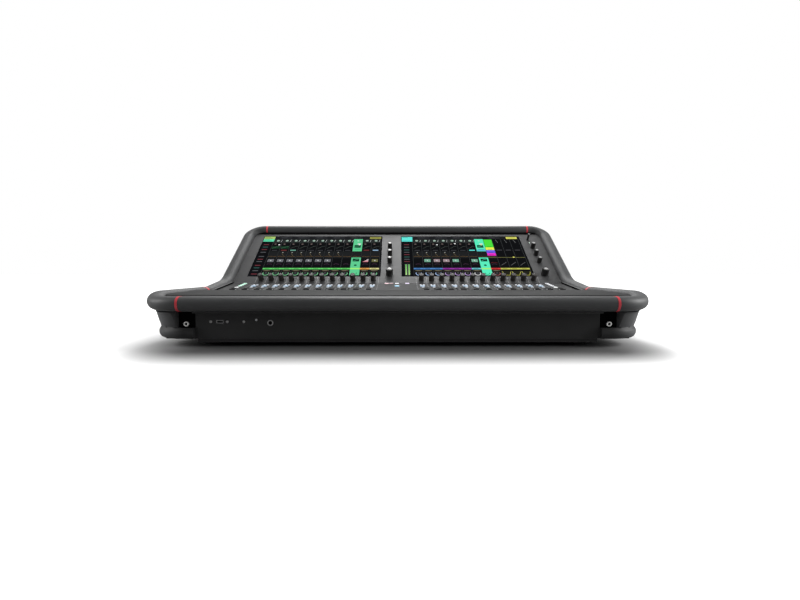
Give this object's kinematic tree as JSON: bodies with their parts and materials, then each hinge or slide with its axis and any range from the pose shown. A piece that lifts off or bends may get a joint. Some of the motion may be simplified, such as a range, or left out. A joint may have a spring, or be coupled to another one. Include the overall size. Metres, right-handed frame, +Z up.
{
  "type": "mixing console",
  "caption": "Digital mixing console: motor faders and keys on a low panel, sloping touch screens with rotary encoders above, a soft tube rim all round and sockets at the back.",
  "frame": {"origin": "on the table under the middle of the console", "axes": "+X the operator's right, +Y the back, +Z up"},
  "size_m": [0.9112, 0.624, 0.269],
  "materials": {
    "soft_rim": "fine-grained dark grey moulding",
    "grey_panel": "satin grey powder coat",
    "black_panel": "satin black powder coat",
    "galvanised_sheet": "folded zinc-coated sheet",
    "grey_case": "dull grey case",
    "screen_glass": "black glass over a lit display",
    "black_plastic": "satin black",
    "white_key": "lit translucent key",
    "blue_key": "lit translucent blue key",
    "circuit_board": "green solder mask",
    "rubber": "matt black rubber"
  },
  "bodies": {
    "console": {"chassis": "galvanised_sheet", "front_panel": "black_panel", "rear_panel": "black_panel", "fader_plate": "grey_panel", "screen_fascia": "grey_panel", "left_screen": "screen_glass", "right_screen": "screen_glass", "palm_rest": "soft_rim", "front_bumper": "soft_rim", "left_rail": "soft_rim", "right_rail": "soft_rim", "hood_rail": "soft_rim", "left_cheek": "soft_rim", "right_cheek": "soft_rim", "strip_encoders": "black_plastic", "power_supply": "grey_case", "main_board": "circuit_board", "audio_board": "black_plastic", "front_sockets": "black_plastic", "fader_modules": "grey_case", "left_foot": "rubber", "right_foot": "rubber"},
    "fader_cap_01": {"fader_cap_01": "black_plastic"},
    "fader_cap_02": {"fader_cap_02": "black_plastic"},
    "fader_cap_03": {"fader_cap_03": "black_plastic"},
    "fader_cap_04": {"fader_cap_04": "black_plastic"},
    "fader_cap_05": {"fader_cap_05": "black_plastic"},
    "fader_cap_06": {"fader_cap_06": "black_plastic"},
    "fader_cap_07": {"fader_cap_07": "black_plastic"},
    "fader_cap_08": {"fader_cap_08": "black_plastic"},
    "fader_cap_09": {"fader_cap_09": "black_plastic"},
    "fader_cap_10": {"fader_cap_10": "black_plastic"},
    "fader_cap_11": {"fader_cap_11": "black_plastic"},
    "fader_cap_12": {"fader_cap_12": "black_plastic"},
    "fader_cap_13": {"fader_cap_13": "black_plastic"},
    "fader_cap_14": {"fader_cap_14": "black_plastic"},
    "fader_cap_15": {"fader_cap_15": "black_plastic"},
    "fader_cap_16": {"fader_cap_16": "black_plastic"},
    "fader_cap_17": {"fader_cap_17": "black_plastic"},
    "fader_cap_18": {"fader_cap_18": "black_plastic"},
    "fader_cap_19": {"fader_cap_19": "black_plastic"},
    "fader_cap_20": {"fader_cap_20": "black_plastic"},
    "fader_cap_21": {"fader_cap_21": "black_plastic"},
    "fader_cap_22": {"fader_cap_22": "black_plastic"},
    "fader_cap_23": {"fader_cap_23": "black_plastic"},
    "fader_cap_24": {"fader_cap_24": "black_plastic"},
    "centre_encoder_1": {"centre_encoder_1": "black_plastic"},
    "centre_encoder_2": {"centre_encoder_2": "black_plastic"},
    "centre_encoder_3": {"centre_encoder_3": "black_plastic"},
    "centre_encoder_4": {"centre_encoder_4": "black_plastic"},
    "right_encoder_1": {"right_encoder_1": "black_plastic"},
    "right_encoder_2": {"right_encoder_2": "black_plastic"},
    "right_encoder_3": {"right_encoder_3": "black_plastic"},
    "right_encoder_4": {"right_encoder_4": "black_plastic"},
    "trim_knob": {"trim_knob": "black_plastic"},
    "upper_keys": {"upper_keys": "white_key"},
    "select_keys": {"select_keys": "blue_key"},
    "mute_keys": {"mute_keys": "white_key"},
    "layer_keys": {"layer_keys": "white_key"},
    "power_switch": {"power_switch": "black_plastic"}
  },
  "joints": [
    {"name": "fader_01", "type": "slide", "parent": "console", "child": "fader_cap_01", "axis": [0, 0.9925, 0.1219], "range_m": [0, 0.1]},
    {"name": "fader_02", "type": "slide", "parent": "console", "child": "fader_cap_02", "axis": [0, 0.9925, 0.1219], "range_m": [0, 0.1]},
    {"name": "fader_03", "type": "slide", "parent": "console", "child": "fader_cap_03", "axis": [0, 0.9925, 0.1219], "range_m": [0, 0.1]},
    {"name": "fader_04", "type": "slide", "parent": "console", "child": "fader_cap_04", "axis": [0, 0.9925, 0.1219], "range_m": [0, 0.1]},
    {"name": "fader_05", "type": "slide", "parent": "console", "child": "fader_cap_05", "axis": [0, 0.9925, 0.1219], "range_m": [0, 0.1]},
    {"name": "fader_06", "type": "slide", "parent": "console", "child": "fader_cap_06", "axis": [0, 0.9925, 0.1219], "range_m": [0, 0.1]},
    {"name": "fader_07", "type": "slide", "parent": "console", "child": "fader_cap_07", "axis": [0, 0.9925, 0.1219], "range_m": [0, 0.1]},
    {"name": "fader_08", "type": "slide", "parent": "console", "child": "fader_cap_08", "axis": [0, 0.9925, 0.1219], "range_m": [0, 0.1]},
    {"name": "fader_09", "type": "slide", "parent": "console", "child": "fader_cap_09", "axis": [0, 0.9925, 0.1219], "range_m": [0, 0.1]},
    {"name": "fader_10", "type": "slide", "parent": "console", "child": "fader_cap_10", "axis": [0, 0.9925, 0.1219], "range_m": [0, 0.1]},
    {"name": "fader_11", "type": "slide", "parent": "console", "child": "fader_cap_11", "axis": [0, 0.9925, 0.1219], "range_m": [0, 0.1]},
    {"name": "fader_12", "type": "slide", "parent": "console", "child": "fader_cap_12", "axis": [0, 0.9925, 0.1219], "range_m": [0, 0.1]},
    {"name": "fader_13", "type": "slide", "parent": "console", "child": "fader_cap_13", "axis": [0, 0.9925, 0.1219], "range_m": [0, 0.1]},
    {"name": "fader_14", "type": "slide", "parent": "console", "child": "fader_cap_14", "axis": [0, 0.9925, 0.1219], "range_m": [0, 0.1]},
    {"name": "fader_15", "type": "slide", "parent": "console", "child": "fader_cap_15", "axis": [0, 0.9925, 0.1219], "range_m": [0, 0.1]},
    {"name": "fader_16", "type": "slide", "parent": "console", "child": "fader_cap_16", "axis": [0, 0.9925, 0.1219], "range_m": [0, 0.1]},
    {"name": "fader_17", "type": "slide", "parent": "console", "child": "fader_cap_17", "axis": [0, 0.9925, 0.1219], "range_m": [0, 0.1]},
    {"name": "fader_18", "type": "slide", "parent": "console", "child": "fader_cap_18", "axis": [0, 0.9925, 0.1219], "range_m": [0, 0.1]},
    {"name": "fader_19", "type": "slide", "parent": "console", "child": "fader_cap_19", "axis": [0, 0.9925, 0.1219], "range_m": [0, 0.1]},
    {"name": "fader_20", "type": "slide", "parent": "console", "child": "fader_cap_20", "axis": [0, 0.9925, 0.1219], "range_m": [0, 0.1]},
    {"name": "fader_21", "type": "slide", "parent": "console", "child": "fader_cap_21", "axis": [0, 0.9925, 0.1219], "range_m": [0, 0.1]},
    {"name": "fader_22", "type": "slide", "parent": "console", "child": "fader_cap_22", "axis": [0, 0.9925, 0.1219], "range_m": [0, 0.1]},
    {"name": "fader_23", "type": "slide", "parent": "console", "child": "fader_cap_23", "axis": [0, 0.9925, 0.1219], "range_m": [0, 0.1]},
    {"name": "fader_24", "type": "slide", "parent": "console", "child": "fader_cap_24", "axis": [0, 0.9925, 0.1219], "range_m": [0, 0.1]},
    {"name": "centre_encoder_1_turn", "type": "hinge", "parent": "console", "child": "centre_encoder_1", "pos_m": [-0.0205, 0.11161, 0.12314], "axis": [0, -0.585, 0.8111], "continuous": true},
    {"name": "centre_encoder_2_turn", "type": "hinge", "parent": "console", "child": "centre_encoder_2", "pos_m": [-0.0205, 0.15743, 0.15619], "axis": [0, -0.585, 0.8111], "continuous": true},
    {"name": "centre_encoder_3_turn", "type": "hinge", "parent": "console", "child": "centre_encoder_3", "pos_m": [-0.0205, 0.18679, 0.17737], "axis": [0, -0.585, 0.8111], "continuous": true},
    {"name": "centre_encoder_4_turn", "type": "hinge", "parent": "console", "child": "centre_encoder_4", "pos_m": [-0.0205, 0.21616, 0.19854], "axis": [0, -0.585, 0.8111], "continuous": true},
    {"name": "right_encoder_1_turn", "type": "hinge", "parent": "console", "child": "right_encoder_1", "pos_m": [0.389, 0.11161, 0.12314], "axis": [0, -0.585, 0.8111], "continuous": true},
    {"name": "right_encoder_2_turn", "type": "hinge", "parent": "console", "child": "right_encoder_2", "pos_m": [0.389, 0.15743, 0.15619], "axis": [0, -0.585, 0.8111], "continuous": true},
    {"name": "right_encoder_3_turn", "type": "hinge", "parent": "console", "child": "right_encoder_3", "pos_m": [0.389, 0.18679, 0.17737], "axis": [0, -0.585, 0.8111], "continuous": true},
    {"name": "right_encoder_4_turn", "type": "hinge", "parent": "console", "child": "right_encoder_4", "pos_m": [0.389, 0.21616, 0.19854], "axis": [0, -0.585, 0.8111], "continuous": true},
    {"name": "trim_turn", "type": "hinge", "parent": "console", "child": "trim_knob", "pos_m": [0.384, 0.2503, 0.22317], "axis": [0, -0.585, 0.8111], "range_deg": [-150, 150]},
    {"name": "upper_keys_press", "type": "slide", "parent": "console", "child": "upper_keys", "axis": [0, 0.1219, -0.9925], "range_m": [0, 0.001], "stiffness_N_per_m": 600, "springref_m": -0.001},
    {"name": "select_keys_press", "type": "slide", "parent": "console", "child": "select_keys", "axis": [0, 0.1219, -0.9925], "range_m": [0, 0.001], "stiffness_N_per_m": 600, "springref_m": -0.001},
    {"name": "mute_keys_press", "type": "slide", "parent": "console", "child": "mute_keys", "axis": [0, 0.1219, -0.9925], "range_m": [0, 0.001], "stiffness_N_per_m": 600, "springref_m": -0.001},
    {"name": "layer_keys_press", "type": "slide", "parent": "console", "child": "layer_keys", "axis": [0, 0.1219, -0.9925], "range_m": [0, 0.001], "stiffness_N_per_m": 600, "springref_m": -0.001},
    {"name": "power_rocker", "type": "hinge", "parent": "console", "child": "power_switch", "pos_m": [0.293, 0.2803, 0.036], "axis": [1, 0, 0], "range_deg": [0, 16]}
  ]
}
